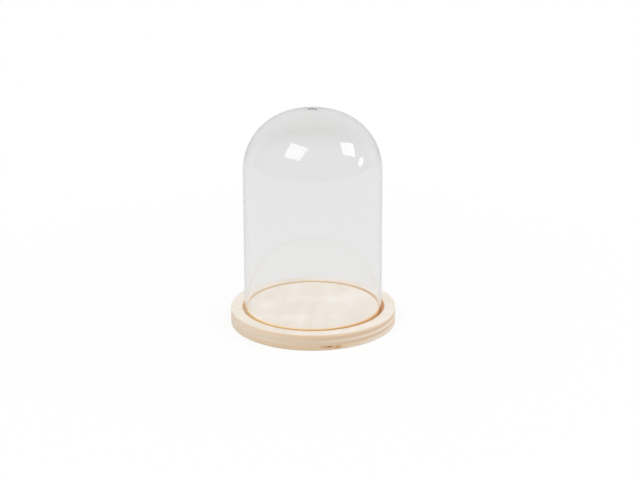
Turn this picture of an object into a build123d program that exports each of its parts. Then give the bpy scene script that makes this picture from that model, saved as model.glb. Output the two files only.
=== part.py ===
"""Glass dome on a round plywood base, all sizes in millimetres.

The row frame has its origin at the middle of the base's underside, with +Z up along the dome's axis.

The base is a disc of five-ply board. A groove is routed through its top two plies, down to the glue
line on the core, so each of those plies is left as two pieces: a deck inside the groove and a rim
outside it. The dome is one blown glass bell, open at the bottom, with a small hole in its crown. Its
ground rim stands loose in the groove, and it lifts straight off.
"""
from build123d import *
from dataclasses import dataclass
from math import cos, radians, sin, sqrt
import os

# --- driving dimensions: glass dome ---
dome_diameter = 125.0       # outside of the straight wall
dome_wall = 2.0             # glass thickness, the same everywhere
straight_height = 134.9     # from the ground rim to where the shoulder starts
shoulder_radius = 53.8      # outside radius of the turn from wall to crown
shoulder_sweep = 74.0       # degrees that the shoulder turns before the crown takes over
crown_radius = 150.0        # outside radius of the nearly flat crown
rim_round = 0.6             # both edges of the ground rim
hole_diameter = 5.0         # hole through the middle of the crown
hole_round = 0.3            # both edges of that hole

# --- driving dimensions: plywood base ---
bottom_face_ply = 4.3
lower_crossband_ply = 2.7
core_ply = 2.5
upper_crossband_ply = 3.0
top_face_ply = 2.5
rim_land = 10.2             # flat ring of base outside the groove
base_edge_round = 1.0       # top and bottom outside edges of the base
groove_edge_round = 0.4     # both top edges of the groove

# --- driving dimensions: fit of the dome in its groove ---
inside_clearance = 0.4      # between the deck and the inside of the glass
outside_clearance = 2.3     # between the outside of the glass and the rim of the base

# --- worked out from the above ---
dome_outer_radius = dome_diameter / 2
dome_inner_radius = dome_outer_radius - dome_wall
hole_radius = hole_diameter / 2
groove_inner_radius = dome_inner_radius - inside_clearance
groove_outer_radius = dome_outer_radius + outside_clearance
base_radius = groove_outer_radius + rim_land

lower_crossband_bottom = bottom_face_ply
core_bottom = lower_crossband_bottom + lower_crossband_ply
groove_floor = core_bottom + core_ply
top_face_bottom = groove_floor + upper_crossband_ply


@dataclass(frozen=True)
class BellCurve:
    """Where one face of the bell turns from wall to shoulder, to crown, to hole, as (radius, height)."""

    wall_top: tuple[float, float]
    shoulder_middle: tuple[float, float]
    crown_start: tuple[float, float]
    crown_middle: tuple[float, float]
    hole_edge: tuple[float, float]


def bell_curve(inset: float) -> BellCurve:
    """Work out one face of the bell.

    The shoulder is an arc tangent to the upright wall. The crown is a flatter arc tangent to the
    shoulder, and it stops at the hole. Both faces share the same arc centres, so the glass keeps one
    thickness all the way.

    Args:
        inset: distance of this face inside the outer one, 0 for the outside.

    Returns:
        The five points that fix the face's lines and arcs.
    """
    sweep = radians(shoulder_sweep)
    shoulder = shoulder_radius - inset
    crown = crown_radius - inset
    shoulder_r = dome_outer_radius - shoulder_radius
    shoulder_z = groove_floor + straight_height
    crown_r = shoulder_r - (crown_radius - shoulder_radius) * cos(sweep)
    crown_z = shoulder_z - (crown_radius - shoulder_radius) * sin(sweep)

    def on_shoulder(angle: float) -> tuple[float, float]:
        return shoulder_r + shoulder * cos(angle), shoulder_z + shoulder * sin(angle)

    def on_crown(radius: float) -> tuple[float, float]:
        return radius, crown_z + sqrt(crown**2 - (radius - crown_r) ** 2)

    crown_start = on_shoulder(sweep)
    return BellCurve(
        wall_top=on_shoulder(0.0),
        shoulder_middle=on_shoulder(sweep / 2),
        crown_start=crown_start,
        crown_middle=on_crown((crown_start[0] + hole_radius) / 2),
        hole_edge=on_crown(hole_radius),
    )


def glass_bell() -> Part:
    """Revolve the bell's section, with its rim on the groove floor.

    Returns:
        The glass dome as one closed solid.
    """
    outside = bell_curve(0.0)
    inside = bell_curve(dome_wall)
    outer_foot = (dome_outer_radius, groove_floor)
    inner_foot = (dome_inner_radius, groove_floor)
    with BuildPart() as bell:
        with BuildSketch(Plane.XZ) as section:
            with BuildLine():
                Line(outer_foot, outside.wall_top)
                ThreePointArc(outside.wall_top, outside.shoulder_middle, outside.crown_start)
                ThreePointArc(outside.crown_start, outside.crown_middle, outside.hole_edge)
                Line(outside.hole_edge, inside.hole_edge)
                ThreePointArc(inside.hole_edge, inside.crown_middle, inside.crown_start)
                ThreePointArc(inside.crown_start, inside.shoulder_middle, inside.wall_top)
                Line(inside.wall_top, inner_foot)
                Line(inner_foot, outer_foot)
            make_face()
            foot_corners = section.vertices().group_by(Axis.Y)[0]
            fillet(foot_corners, radius=min(rim_round, 0.4 * dome_wall))
            hole_corners = section.vertices().group_by(Axis.X)[0]
            fillet(hole_corners, radius=min(hole_round, 0.4 * dome_wall))
        revolve(axis=Axis.Z)
    return bell.part


def ply(bottom: float, thickness: float, outer: float, inner: float = 0.0) -> Part:
    """Make one ply of the board, as a disc or a ring.

    Args:
        bottom: height of its underside.
        thickness: ply thickness.
        outer: outside radius.
        inner: inside radius, 0 for a full disc.

    Returns:
        The ply with sharp edges.
    """
    with BuildPart() as layer:
        with BuildSketch(Plane.XY.offset(bottom)):
            Circle(outer)
            if inner > 0:
                Circle(inner, mode=Mode.SUBTRACT)
        extrude(amount=thickness)
    return layer.part


def rounded(layer: Part, height: float, edge_radius: float, radius: float) -> Part:
    """Round the circular edge of a ply at one height and one radius.

    Args:
        layer: the ply.
        height: height of the edge.
        edge_radius: radius of the circle that the edge follows.
        radius: size of the round.

    Returns:
        The ply with that edge rounded.
    """
    edges = [
        edge
        for edge in layer.edges().filter_by(GeomType.CIRCLE)
        if abs(edge.arc_center.Z - height) < 1e-6 and abs(edge.radius - edge_radius) < 1e-6
    ]
    return layer.fillet(radius, edges)


def deck_face_veneer() -> Part:
    """Make the top ply inside the groove, the board that food stands on."""
    deck = ply(top_face_bottom, top_face_ply, groove_inner_radius)
    return rounded(deck, top_face_bottom + top_face_ply, groove_inner_radius, groove_edge_round)


def rim_face_veneer() -> Part:
    """Make the top ply outside the groove, rounded at the groove and at the outside edge."""
    rim = ply(top_face_bottom, top_face_ply, base_radius, groove_outer_radius)
    top = top_face_bottom + top_face_ply
    rim = rounded(rim, top, groove_outer_radius, groove_edge_round)
    return rounded(rim, top, base_radius, base_edge_round)


def bottom_face_veneer() -> Part:
    """Make the ply that the base stands on, rounded at its outside edge."""
    return rounded(ply(0.0, bottom_face_ply, base_radius), 0.0, base_radius, base_edge_round)


pieces = {
    "glass_dome": glass_bell(),
    "deck_face_veneer": deck_face_veneer(),
    "rim_face_veneer": rim_face_veneer(),
    "deck_crossband": ply(groove_floor, upper_crossband_ply, groove_inner_radius),
    "rim_crossband": ply(groove_floor, upper_crossband_ply, base_radius, groove_outer_radius),
    "core_veneer": ply(core_bottom, core_ply, base_radius),
    "lower_crossband": ply(lower_crossband_bottom, lower_crossband_ply, base_radius),
    "bottom_face_veneer": bottom_face_veneer(),
}

os.makedirs("parts", exist_ok=True)
for name, piece in pieces.items():
    export_step(piece, f"parts/{name}.step")
    print(f"{name}: {piece.volume:.1f} mm3")
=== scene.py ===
import logging
from dataclasses import dataclass
from enum import Enum
from functools import cache
from math import cos, pi, radians, sin, sqrt
from typing import Any

import bpy
import numpy as np
from bpy.types import Material, Mesh, Node, NodeSocket, Object, World
from mathutils import Euler, Matrix, Vector


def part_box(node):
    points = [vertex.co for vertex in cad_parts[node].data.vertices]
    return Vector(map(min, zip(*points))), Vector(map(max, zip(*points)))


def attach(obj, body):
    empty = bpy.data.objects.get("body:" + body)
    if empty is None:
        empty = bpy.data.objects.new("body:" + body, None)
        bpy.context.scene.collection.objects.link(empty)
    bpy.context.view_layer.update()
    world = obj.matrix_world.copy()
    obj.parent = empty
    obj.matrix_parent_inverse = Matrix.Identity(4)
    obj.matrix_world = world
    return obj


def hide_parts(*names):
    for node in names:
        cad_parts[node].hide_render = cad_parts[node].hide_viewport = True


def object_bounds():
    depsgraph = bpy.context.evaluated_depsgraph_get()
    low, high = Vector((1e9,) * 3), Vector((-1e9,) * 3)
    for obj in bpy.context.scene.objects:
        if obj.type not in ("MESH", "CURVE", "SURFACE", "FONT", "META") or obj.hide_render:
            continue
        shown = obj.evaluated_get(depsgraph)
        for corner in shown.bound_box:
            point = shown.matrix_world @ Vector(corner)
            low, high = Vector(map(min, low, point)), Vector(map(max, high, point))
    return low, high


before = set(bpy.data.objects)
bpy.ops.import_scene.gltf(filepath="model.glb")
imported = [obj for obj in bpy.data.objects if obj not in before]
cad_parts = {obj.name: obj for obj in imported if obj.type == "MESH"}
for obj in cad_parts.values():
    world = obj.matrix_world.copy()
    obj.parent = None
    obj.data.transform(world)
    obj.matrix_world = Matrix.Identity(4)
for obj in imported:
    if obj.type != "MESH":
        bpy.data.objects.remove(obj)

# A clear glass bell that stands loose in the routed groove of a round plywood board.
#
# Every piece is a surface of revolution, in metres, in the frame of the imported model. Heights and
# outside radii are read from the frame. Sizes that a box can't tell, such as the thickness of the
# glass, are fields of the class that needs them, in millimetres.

Point = tuple[float, float]  # radius and height, in metres

MM = 0.001
CAD_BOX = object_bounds()
AROUND = 480  # faces round each turned piece
PINHOLE = 0.5 * MM  # hole in the middle of the floor, under the board
CLOSE = 0.12 * MM  # how near its ends a straight run has its close points
SHOULDER_ROWS, CROWN_ROWS = 56, 18  # points along the two arcs of the bell
WHITE = (1.0, 1.0, 1.0, 1.0)

logging.basicConfig(level=logging.INFO, format="%(message)s")
log = logging.getLogger("glass_bell")


# ---------------- colour and nodes


def linear(colour: str) -> tuple[float, float, float, float]:
    """Turn an sRGB hex colour into a linear one.

    Args:
        colour: six hex digits after a hash sign.

    Returns:
        Linear red, green and blue, and an alpha of 1.
    """
    parts = [int(colour[i : i + 2], 16) / 255 for i in (1, 3, 5)]
    red, green, blue = (c / 12.92 if c <= 0.04045 else ((c + 0.055) / 1.055) ** 2.4 for c in parts)
    return red, green, blue, 1.0


def per_mm(size: float) -> float:
    """Give the texture scale, per metre, of a pattern whose features are size millimetres wide."""
    return 1.0 / (size * MM)


class Nodes:
    """The nodes of one material, or of the world."""

    def __init__(self, owner: Material | World) -> None:
        """Start without any, in a material or a world."""
        owner.use_nodes = True
        self.tree = owner.node_tree
        self.tree.nodes.clear()

    def add(self, kind: str, inputs: dict[Any, Any] | None = None, **settings: Any) -> Node:
        """Add one node with its settings and links.

        Args:
            kind: the node's type, without its ShaderNode prefix.
            inputs: for each input, by name or number, a value, or the socket or node that feeds it.
            settings: the node's own attributes.

        Returns:
            The new node.
        """
        node = self.tree.nodes.new("ShaderNode" + kind)
        for name, value in settings.items():
            setattr(node, name, value)
        for name, value in (inputs or {}).items():
            source = value.outputs[0] if isinstance(value, Node) else value
            if isinstance(source, NodeSocket):
                self.tree.links.new(source, node.inputs[name])
            else:
                node.inputs[name].default_value = source
        return node


# ---------------- outlines and turned meshes


def line(start: Point, end: Point, rows: int = 2) -> np.ndarray:
    """Points along a straight run, with one point close to each end.

    The close points keep the shading of a flat face from leaning towards the round beside it. The
    formula is start + t (end - start), with t at 0, at a small step, evenly between, and at 1.

    Args:
        start: radius and height where the run starts.
        end: radius and height where it ends.
        rows: number of evenly spaced points between the close ones.

    Returns:
        An array of radius and height pairs.
    """
    first, last = np.array(start), np.array(end)
    step = min(CLOSE / max(np.linalg.norm(last - first), 1e-9), 0.3)  # 0.3 at most, in a very short run
    t = np.concatenate([[0.0], np.linspace(step, 1 - step, rows), [1.0]])
    return first + t[:, None] * (last - first)


def arc(centre: Point, radius: float, start: float, end: float, rows: int) -> np.ndarray:
    """Points along a circular arc, centre + radius (cos angle, sin angle).

    Args:
        centre: radius and height of the arc's centre.
        radius: the arc's radius.
        start: angle of the first point, in radians above the outward direction.
        end: angle of the last point.
        rows: number of points.

    Returns:
        An array of radius and height pairs.
    """
    angle = np.linspace(start, end, rows)
    return np.array(centre) + radius * np.stack([np.cos(angle), np.sin(angle)], axis=1)


def corner(before: Point, at: Point, after: Point, size: float, rows: int = 7) -> np.ndarray:
    """Points round a corner, on the conic that leaves and joins its two sides smoothly.

    The formula is ((1-t)^2 P + 2 w t (1-t) Q + t^2 R) / ((1-t)^2 + 2 w t (1-t) + t^2), where Q is the
    corner, P and R lie size away from it on its two sides, and w is the cosine of half the turn, which
    makes the conic a circular arc.

    Args:
        before: a point on the side that comes in.
        at: the corner.
        after: a point on the side that goes out.
        size: distance from the corner at which the round starts and ends.
        rows: number of points.

    Returns:
        An array of radius and height pairs.
    """
    middle = np.array(at)
    back = np.array(before) - middle
    on = np.array(after) - middle
    back, on = back / np.linalg.norm(back), on / np.linalg.norm(on)
    weight = sqrt(max((1 - float(back @ on)) / 2, 0.0))
    t = np.linspace(0, 1, rows)[:, None]
    p, q, r = (1 - t) ** 2, 2 * weight * t * (1 - t), t**2
    return (p * (middle + size * back) + q * middle + r * (middle + size * on)) / (p + q + r)


def joined(*runs: np.ndarray) -> np.ndarray:
    """Join runs of an outline end to end, leaving out points that repeat.

    Args:
        runs: arrays of radius and height pairs.

    Returns:
        One array of radius and height pairs.
    """
    points = np.vstack(runs)
    gap = np.linalg.norm(np.diff(points, axis=0), axis=1)
    return points[np.concatenate([[True], gap > 1e-7])]


def turned_points(rows: np.ndarray, around: int) -> np.ndarray:
    """Turn each radius and height pair about the Z axis into a ring of points.

    Args:
        rows: radius and height pairs.
        around: number of points in a ring.

    Returns:
        The points, ring after ring.
    """
    angle = np.linspace(0, 2 * pi, around, endpoint=False)
    radius, level = rows[:, 0, None], np.broadcast_to(rows[:, 1, None], (len(rows), around))
    return np.stack([radius * np.cos(angle), radius * np.sin(angle), level], axis=-1).reshape(-1, 3)


def turned_mesh(name: str, outline: np.ndarray, slots: np.ndarray, closed: bool) -> Mesh:
    """Turn an outline about the Z axis.

    The surface is (r(s) cos u, r(s) sin u, z(s)), with s along the outline and u once round. The outline
    runs outwards along the underside, up the outside and back in over the top, so that faces point out
    of the solid. It is either closed, for a ring, or starts and ends on the axis, where one point
    closes each pole.

    Args:
        name: the mesh's name.
        outline: radius and height pairs.
        slots: material slot number of the faces that follow each point.
        closed: whether the last point joins the first.

    Returns:
        The finished mesh, shaded smooth.
    """
    rows = outline if closed else outline[1:-1]
    slots = slots if closed else slots[1:-1]
    points = turned_points(rows, AROUND)
    number = np.arange(len(rows) * AROUND).reshape(len(rows), AROUND)
    beside = np.roll(number, -1, axis=1)
    above, above_beside = np.roll(number, -1, axis=0), np.roll(beside, -1, axis=0)
    last = len(rows) if closed else len(rows) - 1
    quads = np.stack([number, beside, above_beside, above], axis=-1)[:last].reshape(-1, 4)
    quad_slots = np.repeat(slots[:last], AROUND)

    corners, sizes, indices = [quads.ravel()], [np.full(len(quads), 4)], [quad_slots]
    if not closed:
        poles = np.array([[0.0, 0.0, outline[0, 1]], [0.0, 0.0, outline[-1, 1]]])
        points = np.vstack([points, poles])
        low, high = np.full(AROUND, len(points) - 2), np.full(AROUND, len(points) - 1)
        under = np.stack([low, beside[0], number[0]], axis=-1)
        over = np.stack([number[-1], beside[-1], high], axis=-1)
        corners += [under.ravel(), over.ravel()]
        sizes.append(np.full(2 * AROUND, 3))
        indices.append(np.repeat([slots[0], slots[-1]], AROUND))

    corners, sizes, indices = (np.concatenate(parts) for parts in (corners, sizes, indices))
    mesh = bpy.data.meshes.new(name)
    mesh.vertices.add(len(points))
    mesh.vertices.foreach_set("co", points.astype(np.float32).ravel())
    mesh.loops.add(len(corners))
    mesh.loops.foreach_set("vertex_index", corners.astype(np.int32))
    mesh.polygons.add(len(sizes))
    starts = np.concatenate([[0], np.cumsum(sizes)[:-1]])
    mesh.polygons.foreach_set("loop_start", starts.astype(np.int32))
    mesh.polygons.foreach_set("material_index", indices.astype(np.int32))
    mesh.polygons.foreach_set("use_smooth", np.ones(len(sizes), dtype=bool))
    mesh.update(calc_edges=True)
    mesh.validate()
    return mesh


def new_object(name: str, data: Any) -> Object:
    """Add an object to the scene, with its mesh, lamp or camera."""
    thing = bpy.data.objects.new(name, data)
    bpy.context.scene.collection.objects.link(thing)
    return thing


def place(name: str, mesh: Mesh, materials: list[Material], body: str, node: str, slot: str) -> Object:
    """Put a mesh into the scene as a piece of the object.

    Args:
        name: the piece's name.
        mesh: its mesh, already in the row frame.
        materials: its materials, in slot order.
        body: the CAD body that it rides on.
        node: the CAD node that it stands for.
        slot: name of the material slot that it stands for; not used.

    Returns:
        The piece.
    """
    piece = new_object(name, mesh)
    for material in materials:
        mesh.materials.append(material)
    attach(piece, body)
    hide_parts(node)
    log.info("%s: %d faces, on %s, for %s", name, len(mesh.polygons), body, node)
    return piece


# ---------------- finishes


@dataclass(frozen=True)
class BlownGlass:
    """Soda-lime glass, blown and fire polished.

    The eye gets sharp reflections, a faint grey in the thickness and bright, bent lines at the edges.
    """

    tint: str = "#FCFCFC"  # what light keeps on its way through one wall
    ior: float = 1.5
    roughness: float = 0.0
    square_on: float = 0.03  # share of a lamp's light that each surface turns back, met square on
    glancing: float = 0.35  # the same, met along the surface

    def material(self) -> Material:
        """Build the glass.

        Lamps shine straight through it to the board. What each surface turns back follows Schlick's
        formula, f + (e - f) g^5, with f and e the shares turned back square on and along the surface, and
        g the slant, from 0 square on to 1 along the surface. Light that the board scatters isn't lost.

        Returns:
            The material.
        """
        material = bpy.data.materials.new("soda_lime_glass_blown")
        nodes = Nodes(material)
        body = {"Base Color": linear(self.tint), "Roughness": self.roughness, "IOR": self.ior}
        glass = nodes.add("BsdfPrincipled", {**body, "Transmission Weight": 1.0})
        slant = nodes.add("LayerWeight", {"Blend": 0.5})
        steep = nodes.add("Math", {0: slant.outputs["Facing"], 1: 5.0}, operation="POWER")
        path = nodes.add("LightPath")
        shadow, diffuse = path.outputs["Is Shadow Ray"], path.outputs["Is Diffuse Ray"]
        passed = nodes.add("MapRange", {0: steep, 3: 1 - self.square_on, 4: 1 - self.glancing})
        kept = nodes.add("Math", {0: passed, 1: diffuse}, operation="MAXIMUM")
        clear = nodes.add("BsdfTransparent", {"Color": kept})
        lamp = nodes.add("Math", {0: shadow, 1: diffuse}, operation="MAXIMUM")
        nodes.add("OutputMaterial", {"Surface": nodes.add("MixShader", {0: lamp, 1: glass, 2: clear})})
        return material


@dataclass(frozen=True)
class GroundGlass:
    """The same glass ground flat with fine grit, as on a rim or a drilled edge.

    The eye gets a satin grey line that scatters light and hides what is behind it.
    """

    name: str = "soda_lime_glass_ground"
    tint: str = "#F1F2F2"
    ior: float = 1.5
    roughness: float = 0.5
    clear: float = 0.45  # share of the light that goes through
    grit: float = 0.25  # mm between grinding marks, coarser than real ones so that they show
    depth: float = 0.05  # mm, depth of the marks
    strength: float = 0.25  # how much of that depth the light shows

    def material(self) -> Material:
        """Build the ground glass."""
        material = bpy.data.materials.new(self.name)
        nodes = Nodes(material)
        where = nodes.add("TexCoord").outputs["Object"]
        marks = nodes.add("TexNoise", {"Vector": where, "Scale": per_mm(self.grit), "Detail": 2.0})
        raised = {"Strength": self.strength, "Distance": self.depth * MM, "Height": marks}
        body = {"Base Color": linear(self.tint), "Roughness": self.roughness, "IOR": self.ior}
        ground = {"Transmission Weight": self.clear, "Normal": nodes.add("Bump", raised)}
        nodes.add("OutputMaterial", {"Surface": nodes.add("BsdfPrincipled", {**body, **ground})})
        return material


@dataclass(frozen=True)
class Streaks:
    """One pattern in wood: a noise drawn out along the grain, which shows above a certain level."""

    length: float  # mm, a feature's size along the grain
    width: float  # mm, its size across the grain
    detail: float  # octaves of the noise
    low: float  # level of the noise at which the pattern starts to show
    high: float  # level at which it shows in full
    share: float = 1.0  # how much of the colour under it the pattern then takes away
    rough: float = 0.5  # how much the finer octaves count


@dataclass(frozen=True)
class Cut:
    """How the last cut leaves bare wood."""

    strength: float  # how much of the fibres' height the light shows
    depth: float  # mm, how far they stand up
    gloss: float
    smoothest: float  # roughness between the fibres
    roughest: float  # roughness on them


SANDED = Cut(0.15, 0.04, 0.35, 0.58, 0.72)
SAWN = Cut(0.3, 0.06, 0.3, 0.72, 0.72)
ROUTED = Cut(0.3, 0.06, 0.3, 0.7, 0.7)


class Veneer(Nodes):
    """Nodes that read the solid wood of one ply at a point, shared by its face and its sawn edge."""

    def __init__(self, material: Material, azimuth: float, offset: float) -> None:
        """Set the direction of the grain.

        Args:
            material: the material to build.
            azimuth: direction of the grain in degrees from +X.
            offset: shift in metres that gives each ply its own figure.
        """
        super().__init__(material)
        coordinates = self.add("TexCoord")
        self.point, self.normal = coordinates.outputs["Object"], coordinates.outputs["Normal"]
        self.along = {"Location": (offset, offset / 2, offset), "Rotation": (0.0, 0.0, -radians(azimuth))}

    def level(self, turn: dict[str, Any], size: tuple[float, float, float], pattern: Streaks) -> NodeSocket:
        """Work out how fully a pattern shows.

        The formula is the noise at the turned point, with each axis divided by a feature's size along
        it. The pattern's low to high is then stretched to 0 to 1 and clamped.

        Args:
            turn: inputs of the node that turns the point.
            size: a feature's size along the turned axes, in millimetres.
            pattern: the pattern.

        Returns:
            0 where the pattern is absent, 1 where it shows in full.
        """
        turned = self.add("Mapping", {"Vector": self.point, **turn})
        scale = tuple(per_mm(side) for side in size)
        drawn = self.add("VectorMath", {0: turned, 1: scale}, operation="MULTIPLY")
        octaves = {"Scale": 1.0, "Detail": pattern.detail, "Roughness": pattern.rough}
        noise = self.add("TexNoise", {"Vector": drawn, **octaves})
        return self.add("MapRange", {0: noise, 1: pattern.low, 2: pattern.high}).outputs[0]

    def streaks(self, pattern: Streaks) -> NodeSocket:
        """Work out how fully a pattern shows that is drawn out along the grain."""
        return self.level(self.along, (pattern.length, pattern.width, pattern.width), pattern)

    def sanding(self, facing: float, rise: float, pattern: Streaks) -> NodeSocket:
        """Work out how fully the slanting marks of a sanding drum show.

        Args:
            facing: direction that the edge faces where the slant is true, in degrees from +X.
            rise: slant of the marks, in degrees.
            pattern: the marks, with their length along the slant.

        Returns:
            0 where there are none, 1 where they show in full.
        """
        turn = Matrix.Rotation(radians(rise), 3, "Y") @ Matrix.Rotation(-radians(facing + 90), 3, "Z")
        size = (pattern.length, pattern.length, pattern.width)
        return self.level({"Rotation": turn.to_euler()}, size, pattern)

    def laid(self, colour: Any, tone: str, where: NodeSocket, share: float = 1.0) -> NodeSocket:
        """Lay a tone over a colour where a pattern shows.

        Args:
            colour: the colour under it, a value or a socket.
            tone: the sRGB hex colour on top.
            where: how fully the pattern shows.
            share: share of the tone where the pattern shows in full.

        Returns:
            The mixed colour.
        """
        part = self.add("Math", {0: where, 1: share}, operation="MULTIPLY")
        return self.add("Mix", {0: part, 6: colour, 7: linear(tone)}, data_type="RGBA").outputs[2]

    def streaked(self, colour: Any, tone: str, pattern: Streaks) -> NodeSocket:
        """Lay a tone over a colour where a pattern along the grain shows, and give the mixed colour."""
        return self.laid(colour, tone, self.streaks(pattern), pattern.share)

    def skin(self, colour: NodeSocket, fibre: NodeSocket, cut: Cut) -> None:
        """Close the surface with matt wood that stands up a little along its fibres.

        Args:
            colour: the wood's colour.
            fibre: how fully the fibres show.
            cut: how the last cut left it.
        """
        rough = cut.roughest
        if cut.smoothest != rough:
            rough = self.add("MapRange", {0: fibre, 1: 0.0, 2: 1.0, 3: cut.smoothest, 4: rough})
        raised = {"Strength": cut.strength, "Distance": cut.depth * MM, "Height": fibre}
        body = {"Base Color": colour, "Roughness": rough, "Specular IOR Level": cut.gloss}
        normal = self.add("Bump", raised)
        self.add("OutputMaterial", {"Surface": self.add("BsdfPrincipled", {**body, "Normal": normal})})


@dataclass(frozen=True)
class Finish:
    """Bare wood of one ply. Each kind adds its patterns, among them the fibre, and its cut."""

    name: str
    azimuth: float  # degrees from +X, direction of the grain
    offset: float  # m, shift of the figure

    def colour(self, wood: Veneer, fibre: NodeSocket) -> NodeSocket:
        """Mix the wood's colour.

        Args:
            wood: the ply's wood.
            fibre: how fully its fibres show.

        Returns:
            The colour.
        """
        raise NotImplementedError

    def material(self) -> Material:
        """Build the finish.

        Returns:
            The material.
        """
        material = bpy.data.materials.new(self.name)
        wood = Veneer(material, self.azimuth, self.offset)
        fibre = wood.streaks(self.fibre)
        wood.skin(self.colour(wood, fibre), fibre, self.cut)
        return material


@dataclass(frozen=True)
class SandedVeneer(Finish):
    """The face of a rotary-cut poplar or birch veneer, sanded and left bare.

    The eye gets a nearly white cream with broad soft bands, fine streaks and short flecks, all matt, and
    paler, pinker patches of painted light.
    """

    pale: str = "#EEE6DB"
    deep: str = "#E2D5C4"
    fleck: str = "#D9C4A8"
    # pale pink of the painted light patches
    painted_light_tone: str = "#F8F0E9"
    figure: Streaks = Streaks(75.0, 11.0, 3.0, 0.34, 0.68, 0.45, 0.45)  # broad pale and dark bands
    fibre: Streaks = Streaks(14.0, 0.45, 4.0, 0.35, 0.75, 0.22, 0.6)  # drawn a little coarse, to show
    pores: Streaks = Streaks(3.2, 0.35, 1.0, 0.66, 0.80, 0.35)  # short flecks
    painted_light_patches: Streaks = Streaks(26.0, 26.0, 1.0, 0.5, 0.72, 0.6)  # painted light: paler, pinker patches at random, for light that the bell throws on the face
    cut: Cut = SANDED

    def colour(self, wood: Veneer, fibre: NodeSocket) -> NodeSocket:
        """Mix the colour of the sanded face, from what Finish.colour takes."""
        colour = wood.streaked(linear(self.pale), self.deep, self.figure)
        colour = wood.laid(colour, self.deep, fibre, self.fibre.share)
        colour = wood.streaked(colour, self.fleck, self.pores)
        # painted light: paler, pinker patches laid over the wood
        return wood.streaked(colour, self.painted_light_tone, self.painted_light_patches)


@dataclass(frozen=True)
class Stain:
    """One dark or red patch in the edge of a ply, such as the heart of a small knot or the wood beside it."""

    azimuth: float  # degrees from +X
    height: float  # mm above the table
    length: float  # mm along the edge
    depth: float  # mm up the edge
    colour: str
    share: float  # how much of the wood's own colour it takes away


PIN_KNOT = (
    Stain(-77.0, 3.4, 26.0, 4.4, "#D9A06C", 0.45),  # reddened wood round the knot
    Stain(-82.0, 3.6, 10.5, 2.2, "#A27A52", 0.40),  # the grain that it bends, on the left
    Stain(-78.6, 3.7, 6.2, 2.4, "#8A6238", 0.76),  # its dark heart
    Stain(-73.0, 2.7, 8.5, 3.4, "#C08A4E", 0.62),  # a second, redder one beside it
)


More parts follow.
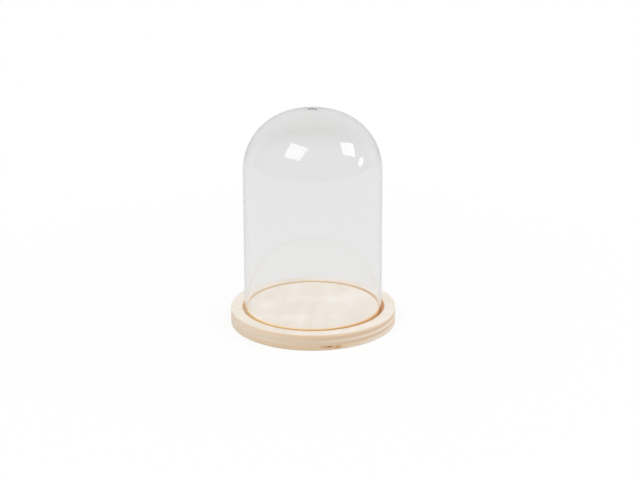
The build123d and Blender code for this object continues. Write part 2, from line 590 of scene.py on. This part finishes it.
@dataclass(frozen=True)
class SawnEdge(Finish):
    """The edge of one ply, cut with a router and sanded.

    The eye gets pale long streaks where the cut runs with the grain, and a darker, redder tan where it
    crosses the fibres. The long-grain colour is paler and greyer than bare wood because it also holds a
    painted sheen, the whitish gleam of an edge seen at a glancing angle, as at the board's sides. A thin
    dark line shows the glue at each side.
    """

    bottom: float  # m, underside of the ply
    top: float  # m, upper side of the ply
    # long-grain colour, partly the wood's and partly painted sheen
    long_grain_and_sheen: str
    end_grain: str
    crossing: float  # how sharply the colour turns from long grain to end grain
    stains: tuple[Stain, ...] = ()
    glue: str = "#C2A686"
    stain_edge: tuple[float, float] = (0.65, 1.35)  # where a stain starts to fade and is gone, 1 its outline
    glue_width: float = 0.22  # mm, how far the glue shows into the ply
    glue_share: float = 0.35
    fibre: Streaks = Streaks(14.0, 0.45, 4.0, 0.3, 0.75, 0.30, 0.6)
    figure: Streaks = Streaks(18.0, 4.0, 2.0, 0.35, 0.7, 0.25)
    drum: Streaks = Streaks(22.0, 1.6, 2.0, 0.4, 0.7, 0.25)  # marks of the sanding drum
    drum_facing: float = -140.0  # degrees from +X, where the marks' slant is true
    drum_rise: float = 24.0  # degrees, their slant
    warp: Streaks = Streaks(2.5, 0.8, 2.0, 0.0, 1.0, 0.5)  # frays the stains, by that share of their size
    cut: Cut = SAWN

    def across(self, wood: Veneer) -> NodeSocket:
        """Work out how squarely the surface crosses the grain.

        The formula is the absolute dot product of the normal and the grain's direction, raised to a
        power.

        Args:
            wood: the ply's wood.

        Returns:
            0 along the grain, 1 square across it.
        """
        direction = (cos(radians(self.azimuth)), sin(radians(self.azimuth)), 0.0)
        dot = wood.add("VectorMath", {0: wood.normal, 1: direction}, operation="DOT_PRODUCT")
        size = wood.add("Math", {0: dot.outputs["Value"]}, operation="ABSOLUTE")
        return wood.add("Math", {0: size, 1: self.crossing}, operation="POWER", use_clamp=True).outputs[0]

    def near_glue(self, wood: Veneer) -> NodeSocket:
        """Work out how near a point is to the glue at the ply's two sides, 0 away from it and 1 at it."""
        middle, half = (self.bottom + self.top) / 2, (self.top - self.bottom) / 2
        apart = wood.add("SeparateXYZ", {0: wood.point})
        above = wood.add("Math", {0: apart.outputs["Z"], 1: middle}, operation="SUBTRACT")
        away = wood.add("Math", {0: above}, operation="ABSOLUTE")
        return wood.add("MapRange", {0: away, 1: half - self.glue_width * MM, 2: half}).outputs[0]

    def stained(self, wood: Veneer, colour: NodeSocket, stain: Stain) -> NodeSocket:
        """Stain the wood at one place.

        The formula is the length of the point's offset from the stain's middle, each axis divided by the
        stain's size there, warped by a little noise.

        Args:
            wood: the ply's wood.
            colour: the colour without the stain.
            stain: its place, size and colour.

        Returns:
            The colour with the stain.
        """
        angle, radius = radians(stain.azimuth), CAD_BOX[1].x
        inputs = {
            "Vector": wood.point,
            "Location": (radius * cos(angle), radius * sin(angle), stain.height * MM),
            "Rotation": (0.0, 0.0, angle + pi / 2),
            "Scale": (stain.length * MM / 2, stain.length * MM / 2, stain.depth * MM / 2),
        }
        local = wood.add("Mapping", inputs, vector_type="TEXTURE")
        reach = wood.add("VectorMath", {0: local}, operation="LENGTH").outputs["Value"]
        bend = {0: wood.streaks(self.warp), 1: self.warp.share, 2: reach}
        bent = wood.add("Math", bend, operation="MULTIPLY_ADD")
        inside = wood.add("MapRange", {0: bent, 1: self.stain_edge[0], 2: self.stain_edge[1], 3: 1.0, 4: 0.0})
        return wood.laid(colour, stain.colour, inside, stain.share)

    def colour(self, wood: Veneer, fibre: NodeSocket) -> NodeSocket:
        """Mix the colour of the sawn edge, from what Finish.colour takes."""
        drum = wood.sanding(self.drum_facing, self.drum_rise, self.drum)
        # painted sheen: the long-grain colour holds it as well as the wood's own colour
        colour = wood.laid(linear(self.long_grain_and_sheen), self.end_grain, self.across(wood))
        colour = wood.laid(colour, self.end_grain, fibre, self.fibre.share)
        colour = wood.streaked(colour, self.end_grain, self.figure)
        colour = wood.laid(colour, self.glue, self.near_glue(wood), self.glue_share)
        colour = wood.laid(colour, self.end_grain, drum, self.drum.share)
        for stain in self.stains:
            colour = self.stained(wood, colour, stain)
        return colour


@dataclass(frozen=True)
class RoutedWall(Finish):
    """The wall or floor of a groove that a fast router bit has cut and burnt brown.

    The eye gets a warm golden line, streaked along the fibres and brightened beyond bare wood
    as painted glow of light bouncing in the groove. It turns from straw to a burnt orange on one
    side, as painted shade.
    """

    # straw gold, made brighter than bare wood as painted glow of light bouncing in the groove
    gold_and_glow: str
    # burnt orange, both real browning and painted shade towards one side
    scorched_and_shaded: str
    shaded_side: float  # degrees from +X, where the painted shade is deepest
    fibre: Streaks = Streaks(6.0, 0.8, 3.0, 0.35, 0.75, 0.2, 0.6)
    burn: Streaks = Streaks(16.0, 16.0, 2.0, 0.45, 0.75, 0.2)  # places where the bit lingered
    cut: Cut = ROUTED

    def side_shade(self, wood: Veneer) -> NodeSocket:
        """Work out how much painted shade a point takes, darker towards one side.

        The formula is half of one plus the cosine of the angle between the point and the slow side,
        squared.

        Args:
            wood: the ply's wood.

        Returns:
            0 on the far side, 1 at the shaded side.
        """
        side = (cos(radians(self.shaded_side)), sin(radians(self.shaded_side)), 0.0)
        level = wood.add("VectorMath", {0: wood.point, 1: (1.0, 1.0, 0.0)}, operation="MULTIPLY")
        outward = wood.add("VectorMath", {0: level}, operation="NORMALIZE")
        dot = wood.add("VectorMath", {0: outward, 1: side}, operation="DOT_PRODUCT")
        near = wood.add("MapRange", {0: dot.outputs["Value"], 1: -1.0, 2: 1.0})
        return wood.add("Math", {0: near, 1: 2.0}, operation="POWER").outputs[0]

    def colour(self, wood: Veneer, fibre: NodeSocket) -> NodeSocket:
        """Mix the colour of the browned wall, from what Finish.colour takes."""
        # painted shade: the burnt orange, laid on more fully towards the shaded side
        colour = wood.laid(linear(self.gold_and_glow), self.scorched_and_shaded, self.side_shade(wood))
        colour = wood.laid(colour, self.scorched_and_shaded, fibre, self.fibre.share)
        return wood.streaked(colour, self.scorched_and_shaded, self.burn)


@cache
def dressed(finish: Finish) -> Material:
    """Build a finish once, and give the same material to every piece that has it."""
    return finish.material()


# ---------------- the glass bell


class GlassSlot(Enum):
    """Material slots of the bell."""

    BLOWN = 0
    GROUND = 1
    DRILLED = 2


@dataclass
class GlassBell:
    """The bell: an upright wall, a round shoulder and a flatter crown with a small hole, one thickness.

    All sizes are in millimetres, and the sweep is in degrees.
    """

    wall: float = 2.0
    straight_height: float = 134.9  # from the rim to where the shoulder starts
    shoulder_radius: float = 53.8
    shoulder_sweep: float = 74.0
    crown_radius: float = 150.0
    rim_round: float = 0.6
    hole_radius: float = 2.5
    hole_round: float = 0.3

    def curve(self, inset: float) -> dict[str, Any]:
        """Work out the arcs of one face of the bell, in metres.

        The shoulder's centre lies level with the wall's top, and the crown's on the line from there
        through the point where the two arcs meet, so that they are tangent.

        Args:
            inset: distance of this face inside the outer one, in millimetres.

        Returns:
            The centres, radii and meeting points of the arcs.
        """
        low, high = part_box("glass_dome")
        sweep = radians(self.shoulder_sweep)
        shoulder_centre = (high.x - self.shoulder_radius * MM, low.z + self.straight_height * MM)
        lean = (self.crown_radius - self.shoulder_radius) * MM
        crown_centre = (shoulder_centre[0] - lean * cos(sweep), shoulder_centre[1] - lean * sin(sweep))
        crown = (self.crown_radius - inset) * MM
        hole = self.hole_radius * MM
        return {
            "foot": (high.x - inset * MM, low.z),
            "shoulder_centre": shoulder_centre,
            "shoulder": (self.shoulder_radius - inset) * MM,
            "crown_centre": crown_centre,
            "crown": crown,
            "hole_edge": (hole, crown_centre[1] + sqrt(crown**2 - (hole - crown_centre[0]) ** 2)),
            "hole_angle": float(np.arccos((hole + self.hole_round * MM - crown_centre[0]) / crown)),
        }

    def outline(self) -> tuple[np.ndarray, np.ndarray]:
        """Work out the bell's section as one closed outline.

        It runs out along the ground rim, up the outside, over to the hole, down its wall and back along
        the inside.

        Returns:
            The points, and the material slot that follows each.
        """
        out, inn = self.curve(0.0), self.curve(self.wall)
        sweep = radians(self.shoulder_sweep)
        rim, lip = self.rim_round * MM, self.hole_round * MM
        wall_top = out["shoulder_centre"][1]
        outside, inside = out["foot"], inn["foot"]
        up_out, up_in = (outside[0], outside[1] + rim), (inside[0], inside[1] + rim)
        outer_crown = arc(out["crown_centre"], out["crown"], sweep, out["hole_angle"], CROWN_ROWS)
        inner_crown = arc(inn["crown_centre"], inn["crown"], inn["hole_angle"], sweep, CROWN_ROWS)
        top_lip = corner(tuple(outer_crown[-1]), out["hole_edge"], inn["hole_edge"], lip)
        under_lip = corner(out["hole_edge"], inn["hole_edge"], tuple(inner_crown[0]), lip)
        ground = joined(
            line((inside[0] + rim, inside[1]), (outside[0] - rim, outside[1])),
            corner(inside, outside, up_out, rim),
        )
        blown = joined(
            line(up_out, (outside[0], wall_top), 4),
            arc(out["shoulder_centre"], out["shoulder"], 0.0, sweep, SHOULDER_ROWS),
            outer_crown,
        )
        drilled = line(tuple(top_lip[-1]), tuple(under_lip[0]))
        inner = joined(
            inner_crown,
            arc(inn["shoulder_centre"], inn["shoulder"], sweep, 0.0, SHOULDER_ROWS),
            line((inside[0], wall_top), up_in, 4),
        )
        foot = corner(up_in, inside, outside, rim)[1:-1]
        runs = (
            (ground, GlassSlot.GROUND),
            (blown[1:], GlassSlot.BLOWN),
            (top_lip[1:-1], GlassSlot.BLOWN),
            (drilled, GlassSlot.DRILLED),
            (under_lip[1:], GlassSlot.BLOWN),
            (inner[1:], GlassSlot.BLOWN),
            (foot, GlassSlot.GROUND),
        )
        slots = np.concatenate([np.full(len(run), slot.value) for run, slot in runs])
        return np.vstack([run for run, _ in runs]), slots

    def build(self) -> Object:
        """Build and dress the bell."""
        points, slots = self.outline()
        mesh = turned_mesh("glass_bell", points, slots, closed=True)
        drilled = GroundGlass("soda_lime_glass_drilled", tint="#F3EFEF", roughness=0.6, clear=0.35)
        materials = [finish.material() for finish in (BlownGlass(), GroundGlass(), drilled)]
        return place("glass_bell", mesh, materials, "dome", "glass_dome", "clear_glass")


# ---------------- the plywood board


class Ply(Enum):
    """Material slots of each ply."""

    FACE = 0
    EDGE = 1
    GROOVE = 2


@dataclass
class PlyPiece:
    """One piece of one ply: a disc, or a ring outside the groove."""

    node: str
    name: str
    slot: str
    face: Finish
    edge: Finish
    groove: RoutedWall | None = None  # on a ring, its wall at the groove
    inner_radius: float = 0.0  # m, 0 for a disc
    round_bottom: float = 0.06  # mm, round of the lower outside edge
    round_top: float = 0.06  # mm, round of the upper outside edge
    round_groove: float = 0.06  # mm, round of the upper edge at the groove, on a ring
    steepness: float = 0.6  # rise over run above which a face counts as a wall

    def outline(self) -> tuple[np.ndarray, np.ndarray]:
        """Work out half the ply's section.

        Returns:
            The points, and the material slot that follows each: a wall finish wherever the run is
            steep, and all over the round at the groove.
        """
        low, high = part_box(self.node)
        radius, bottom, top = high.x, low.z, high.z
        foot, head, lip = self.round_bottom * MM, self.round_top * MM, self.round_groove * MM
        start = (self.inner_radius, bottom)
        outer_low, outer_high = (radius, bottom), (radius, top)
        runs = [
            line(start, (radius - foot, bottom), 10),
            corner(start, outer_low, outer_high, foot),
            line((radius, bottom + foot), (radius, top - head), 6),
            corner(outer_low, outer_high, (self.inner_radius, top), head, 9),
        ]
        if self.inner_radius > 0:
            inner_high = (self.inner_radius, top)
            runs += [
                line((radius - head, top), (self.inner_radius + lip, top), 10),
                corner(outer_high, inner_high, start, lip),
                line((self.inner_radius, top - lip), start, 4)[:-1],
            ]
        else:
            runs.append(line((radius - head, top), (0.0, top), 10))
        points = joined(*runs)
        step = np.diff(points, axis=0, append=points[:1])
        steep = np.abs(step[:, 1]) > self.steepness * np.abs(step[:, 0])
        middle = points + step / 2
        # the round at the groove takes the wall's finish, with its painted glow and painted shade
        at, reach = (radius, head) if isinstance(self.edge, RoutedWall) else (self.inner_radius, lip)
        lip_with_wall_finish = (np.abs(middle[:, 0] - at) < reach) & (middle[:, 1] > top - reach)
        wall = np.where(points[:, 0] < (self.inner_radius + radius) / 2, Ply.GROOVE.value, Ply.EDGE.value)
        return points, np.where(steep | lip_with_wall_finish, wall, Ply.FACE.value)

    def build(self) -> Object:
        """Build and dress the piece."""
        points, slots = self.outline()
        mesh = turned_mesh(self.name, points, slots, closed=self.inner_radius > 0)
        finishes = [finish for finish in (self.face, self.edge, self.groove) if finish is not None]
        return place(self.name, mesh, [dressed(finish) for finish in finishes], "base", self.node, self.slot)


@dataclass
class PlywoodBoard:
    """The board: five plies, the top two cut in two by the groove."""

    outside_clearance: float = 2.3  # mm between the glass and the groove's outer wall
    edge_round: float = 1.0
    groove_round: float = 0.4
    deck_round: float = 0.9  # on the deck's upper edge, whose lip takes the groove wall's finish: burnt brown, with painted glow and shade
    face_azimuth: float = -93.0  # degrees, grain of both faces and the core
    cross_azimuth: float = -56.0  # degrees, grain of the crossbands at the front

    def groove_radius(self) -> float:
        """Radius of the groove's outer wall, in metres."""
        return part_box("glass_dome")[1].x + self.outside_clearance * MM

    def edge(self, node: str, azimuth: float, offset: float, *looks: Any) -> SawnEdge:
        """Describe the sawn edge of a ply, given its CAD node and the direction and shift of its grain.

        Its looks are its long grain, with its painted sheen, its end grain, how sharply they meet, and its
        stains if it has any.
        """
        low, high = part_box(node)
        return SawnEdge(f"ply_edge_{node}", azimuth, offset, low.z, high.z, *looks)

    def pieces(self) -> list[PlyPiece]:
        """List the board's pieces from the top down."""
        face, cross, groove = self.face_azimuth, self.cross_azimuth, self.groove_radius()
        top_face = SandedVeneer("face_veneer_sanded_top", face, 1.61)
        bottom_face = SandedVeneer("face_veneer_sanded_bottom", face, 0.77)
        hidden_face = SandedVeneer("cross_veneer_sawn_face", cross, 0.53, pale="#E6D0B4", deep="#D2B48F")
        # groove finishes: gold kept bright as painted glow, burnt orange, and the side of deepest painted
        # shade
        core_face = RoutedWall("groove_floor_routed", face, 0.12, "#FFEFD6", "#E6B27C", -20.0)
        deck_wall = RoutedWall("groove_inner_wall_routed", face, 1.61, "#FFE2AE", "#FBCC92", 0.0)
        rim_wall = RoutedWall("groove_outer_wall_routed", face, 0.53, "#FFF0DA", "#DEB385", -58.0)
        # edge colours: long grain with its painted sheen, end grain, how sharply they meet
        rim_edge = self.edge("rim_face_veneer", face, 1.61, "#F3F0EE", "#E5CCAD", 1.3)
        cross_edge = self.edge("rim_crossband", cross, 0.53, "#EDDCC9", "#DABFA2", 1.9)
        core_edge = self.edge("core_veneer", face - 9, 0.12, "#F3E9E1", "#DECBB3", 2.2)
        lower_edge = self.edge("lower_crossband", cross, 0.94, "#EDDDCB", "#D8BFA2", 2.3)
        bottom_edge = self.edge("bottom_face_veneer", face - 7, 0.77, "#EBE3DA", "#DEC5A3", 2.6, PIN_KNOT)
        outer, crossed, cored = "face_veneer", "crossband_veneer", "core_veneer"
        deck = {"round_top": self.deck_round}
        rim = {"round_top": self.edge_round, "round_groove": self.groove_round}
        foot = {"round_bottom": self.edge_round}
        return [
            PlyPiece("deck_face_veneer", "deck_top_veneer", outer, top_face, deck_wall, **deck),
            PlyPiece("rim_face_veneer", "rim_top_veneer", outer, top_face, rim_edge, rim_wall, groove, **rim),
            PlyPiece("deck_crossband", "deck_cross_veneer", crossed, hidden_face, deck_wall),
            PlyPiece("rim_crossband", "rim_cross_veneer", crossed, hidden_face, cross_edge, rim_wall, groove),
            PlyPiece("core_veneer", "core_sheet", cored, core_face, core_edge),
            PlyPiece("lower_crossband", "lower_cross_veneer", crossed, hidden_face, lower_edge),
            PlyPiece("bottom_face_veneer", "bottom_veneer", outer, bottom_face, bottom_edge, **foot),
        ]

    def build(self) -> None:
        """Build and dress every ply."""
        for piece in self.pieces():
            piece.build()


# ---------------- the studio


def show_only_mirrored(thing: Object) -> None:
    """Hide an object from all rays but those that a surface mirrors."""
    for ray in ("camera", "diffuse", "transmission", "shadow"):
        setattr(thing, f"visible_{ray}", False)


class LampFront(Enum):
    """Shapes of a lamp's front."""

    SQUARE = "RECTANGLE"
    ROUND = "ELLIPSE"


@dataclass(frozen=True)
class Softbox:
    """A studio lamp aimed at the bell, with a diffusing front that glass mirrors as a soft-edged patch."""

    name: str
    azimuth: float  # degrees from the camera's side, to the right
    elevation: float  # degrees above the horizon
    roll: float  # degrees about its own axis
    width: float  # m
    height: float  # m
    power: float  # W
    glare: float  # brightness of the front where glass mirrors it
    soft: float = 0.3  # share of the half width over which the front fades out
    shape: LampFront = LampFront.SQUARE
    distance: float = 1.5  # m

    def hang(self, thing: Object, target: Vector) -> None:
        """Hang the lamp or its front where it faces the target.

        Args:
            thing: the lamp or its front.
            target: the point that it faces.
        """
        turn, rise = radians(self.azimuth), radians(self.elevation)
        away = Vector((sin(turn) * cos(rise), -cos(turn) * cos(rise), sin(rise)))
        thing.location = target + away * self.distance
        thing.rotation_euler = away.to_track_quat("Z", "Y").to_euler()
        thing.rotation_euler.rotate_axis("Z", radians(self.roll))

    def cloth(self) -> Material:
        """Build the front's material.

        Its brightness is the glare times a smooth step down across the edge. How near the edge a point is
        follows from its place, divided by half the front's size: the larger of its two parts on a square
        front, and their length on a round one.

        Returns:
            The material, clear outside the front's shape.
        """
        material = bpy.data.materials.new(f"diffuser_cloth_{self.name}")
        nodes = Nodes(material)
        where = nodes.add("TexCoord").outputs["Object"]
        halves = (self.width / 2, self.height / 2, 1.0)
        place = nodes.add("VectorMath", {0: where, 1: halves}, operation="DIVIDE")
        if self.shape is LampFront.SQUARE:
            apart = nodes.add("SeparateXYZ", {0: nodes.add("VectorMath", {0: place}, operation="ABSOLUTE")})
            reach = nodes.add("Math", {0: apart.outputs["X"], 1: apart.outputs["Y"]}, operation="MAXIMUM")
        else:
            reach = nodes.add("VectorMath", {0: place}, operation="LENGTH").outputs["Value"]
        edge = {0: reach, 1: 1 - self.soft / 2, 2: 1 + self.soft / 2, 3: 1.0, 4: 0.0}
        inside = nodes.add("MapRange", edge, interpolation_type="SMOOTHSTEP")
        clear = nodes.add("BsdfTransparent")
        glow = nodes.add("Emission", {"Color": WHITE, "Strength": self.glare})
        nodes.add("OutputMaterial", {"Surface": nodes.add("MixShader", {0: inside, 1: clear, 2: glow})})
        return material

    def build(self, target: Vector) -> None:
        """Hang the lamp, and in its place the front that only mirrored rays see.

        Args:
            target: the point that it faces.
        """
        lamp = bpy.data.lights.new(self.name, "AREA")
        lamp.shape = self.shape.value
        lamp.size, lamp.size_y = self.width, self.height
        lamp.energy = self.power
        holder = new_object(self.name, lamp)
        holder.visible_camera = False
        holder.visible_glossy = False
        self.hang(holder, target)

        across, up = self.width * (1 + self.soft) / 2, self.height * (1 + self.soft) / 2
        mesh = bpy.data.meshes.new(f"{self.name}_front")
        corners = [(-across, -up, 0.0), (across, -up, 0.0), (across, up, 0.0), (-across, up, 0.0)]
        mesh.from_pydata(corners, [], [(0, 1, 2, 3)])
        mesh.materials.append(self.cloth())
        front = new_object(f"{self.name}_front", mesh)
        show_only_mirrored(front)
        self.hang(front, target)


@dataclass
class Studio:
    """White sweep, two softboxes, a round reflector, the room that the glass mirrors, and the camera."""

    floor_radius: float = 9.0  # m
    floor_colour: str = "#F2F2F2"
    floor_glow: float = 0.86  # share of the floor's white that doesn't depend on the lamps, near the board
    floor_fade: float = 0.45  # m from the middle, where the floor has become wholly white
    mirrored: float = 0.835  # brightness of the sweep where glass shows it, next to 1 where the eye sees it
    mirrored_far: float = 0.75  # the same at the back of the sweep
    back: tuple[float, float] = (0.52, 0.70)  # m behind the bell, over which the one turns into the other
    ambient: float = 0.68  # light of the world on the object
    room: float = 0.27  # brightness of the room that the glass mirrors above the horizon
    ceiling: float = 0.17  # the same straight above
    backdrop: float = 0.86  # the same behind the bell, where the sweep rises
    overhead: tuple[float, float] = (0.88, 0.97)  # sine of the height over which it turns into the ceiling
    behind: tuple[float, float] = (0.2, 0.65)  # how far back, 1 right behind, it turns into the backdrop
    room_radius: float = 7.0  # m
    camera_place: tuple[float, float, float] = (6.44, -1895.7, 747.1)  # mm
    camera_pitch: float = 19.45  # degrees below the horizon
    camera_roll: float = -0.17  # degrees
    lens: float = 125.04  # mm on a 36 mm wide sensor

    def sight(self, nodes: Nodes, mirrored: Any) -> tuple[NodeSocket, NodeSocket]:
        """Pick the rays that see the background: from the camera, mirrored, or through glass.

        Args:
            nodes: the nodes of the world or the floor.
            mirrored: brightness of the background where glass shows it, a value or a socket.

        Returns:
            Whether a ray is one of them, and how bright the background is to it.
        """
        path = nodes.add("LightPath")
        eye, mirror, glass = (path.outputs[f"Is {ray} Ray"] for ray in ("Camera", "Glossy", "Transmission"))
        direct = nodes.add("Math", {0: eye, 1: mirror}, operation="MAXIMUM")
        seen = nodes.add("Math", {0: direct, 1: glass}, operation="MAXIMUM")
        white = nodes.add("MapRange", {0: eye, 3: mirrored, 4: 1.0})
        return seen.outputs[0], white.outputs[0]

    def world(self) -> None:
        """Set the world: white to sight, and soft ambient light to everything else."""
        world = bpy.data.worlds.new("studio_sweep")
        bpy.context.scene.world = world
        nodes = Nodes(world)
        seen, white = self.sight(nodes, self.mirrored_far)
        sweep = nodes.add("Background", {"Color": WHITE, "Strength": white})
        light = nodes.add("Background", {"Color": WHITE, "Strength": self.ambient})
        mix = nodes.add("MixShader", {0: seen, 1: light, 2: sweep})
        nodes.add("OutputWorld", {"Surface": mix})

    def disc(self, name: str, rings: np.ndarray, material: Material) -> Object:
        """Build an open turned sheet, such as a floor or a vault.

        Args:
            name: the sheet's name.
            rings: radius and height of each ring of points.
            material: its material.

        Returns:
            The sheet.
        """
        around = 64
        points = turned_points(rings, around)
        number = np.arange(len(points)).reshape(len(rings), around)
        beside = np.roll(number, -1, axis=1)
        faces = np.stack([number[:-1], beside[:-1], beside[1:], number[1:]], axis=-1).reshape(-1, 4)
        mesh = bpy.data.meshes.new(name)
        mesh.from_pydata(points.tolist(), [], faces.tolist())
        mesh.materials.append(material)
        sheet = new_object(name, mesh)
        return sheet

    def floor(self) -> None:
        """Lay the white floor, which keeps a faint shadow of the object."""
        material = bpy.data.materials.new("white_sweep_paper")
        nodes = Nodes(material)
        paper = nodes.add("BsdfDiffuse", {"Color": linear(self.floor_colour)})
        where = nodes.add("TexCoord").outputs["Object"]
        reach = nodes.add("VectorMath", {0: where}, operation="LENGTH").outputs["Value"]
        back = nodes.add("SeparateXYZ", {0: where}).outputs["Y"]
        dim = {0: back, 1: self.back[0], 2: self.back[1], 3: self.mirrored, 4: self.mirrored_far}
        dimmed = nodes.add("MapRange", dim, interpolation_type="SMOOTHSTEP")
        seen, white = self.sight(nodes, dimmed)
        glow = nodes.add("Emission", {"Color": WHITE, "Strength": white})
        fade = {0: reach, 1: CAD_BOX[1].x, 2: self.floor_fade, 3: self.floor_glow, 4: 1.0}
        faded = nodes.add("MapRange", fade, interpolation_type="SMOOTHSTEP")
        share = nodes.add("Math", {0: seen, 1: faded}, operation="MULTIPLY")
        nodes.add("OutputMaterial", {"Surface": nodes.add("MixShader", {0: share, 1: paper, 2: glow})})
        self.disc("sweep_floor", np.array([[self.floor_radius, 0.0], [PINHOLE, 0.0]]), material)

    def vault(self) -> None:
        """Build the dim room above the horizon, which only mirrored rays see."""
        material = bpy.data.materials.new("studio_room_grey")
        nodes = Nodes(material)
        where = nodes.add("TexCoord").outputs["Object"]
        apart = nodes.add("SeparateXYZ", {0: nodes.add("VectorMath", {0: where}, operation="NORMALIZE")})
        low, high = self.overhead
        rising = {0: apart.outputs["Z"], 1: low, 2: high, 3: self.room, 4: self.ceiling}
        above = nodes.add("MapRange", rising, interpolation_type="SMOOTHSTEP")
        low, high = self.behind
        receding = {0: apart.outputs["Y"], 1: low, 2: high, 3: above, 4: self.backdrop}
        bright = nodes.add("MapRange", receding, interpolation_type="SMOOTHSTEP")
        nodes.add("OutputMaterial", {"Surface": nodes.add("Emission", {"Color": WHITE, "Strength": bright})})
        rise = np.linspace(0.0, pi / 2 - 0.001, 12)
        rings = self.room_radius * np.stack([np.cos(rise), np.sin(rise)], axis=1)
        show_only_mirrored(self.disc("studio_room", rings, material))

    def camera(self) -> None:
        """Set the camera."""
        lens = bpy.data.cameras.new("camera")
        lens.lens = self.lens
        lens.sensor_width = 36.0
        lens.clip_end = 100.0
        camera = new_object("camera", lens)
        camera.location = Vector(self.camera_place) * MM
        camera.rotation_euler = Euler((radians(90 - self.camera_pitch), 0.0, 0.0))
        camera.rotation_euler.rotate_axis("Z", radians(self.camera_roll))
        bpy.context.scene.camera = camera

    def build(self) -> None:
        """Set up the whole studio."""
        target = Vector((0.0, 0.0, 0.1))
        self.camera()
        self.world()
        self.floor()
        self.vault()
        for softbox in (
            Softbox("softbox_left", -43.4, 53.0, 2.6, 0.73, 0.70, 7.2, 1.28, 0.6),
            Softbox("softbox_right", 86.4, 40.4, -47.0, 0.565, 0.59, 5.4, 0.72, 0.5),
            Softbox("reflector_right", 92.1, 14.4, 22.0, 0.39, 0.24, 1.1, 1.0, 1.0, LampFront.ROUND),
        ):
            softbox.build(target)
        bpy.context.scene.view_settings.view_transform = "Standard"
        log.info("studio: floor, room, two softboxes, a round reflector and camera")


def main() -> None:
    """Build the studio, the board and the bell, in that order."""
    Studio().build()
    PlywoodBoard().build()
    GlassBell().build()


if __name__ == "__main__":
    main()
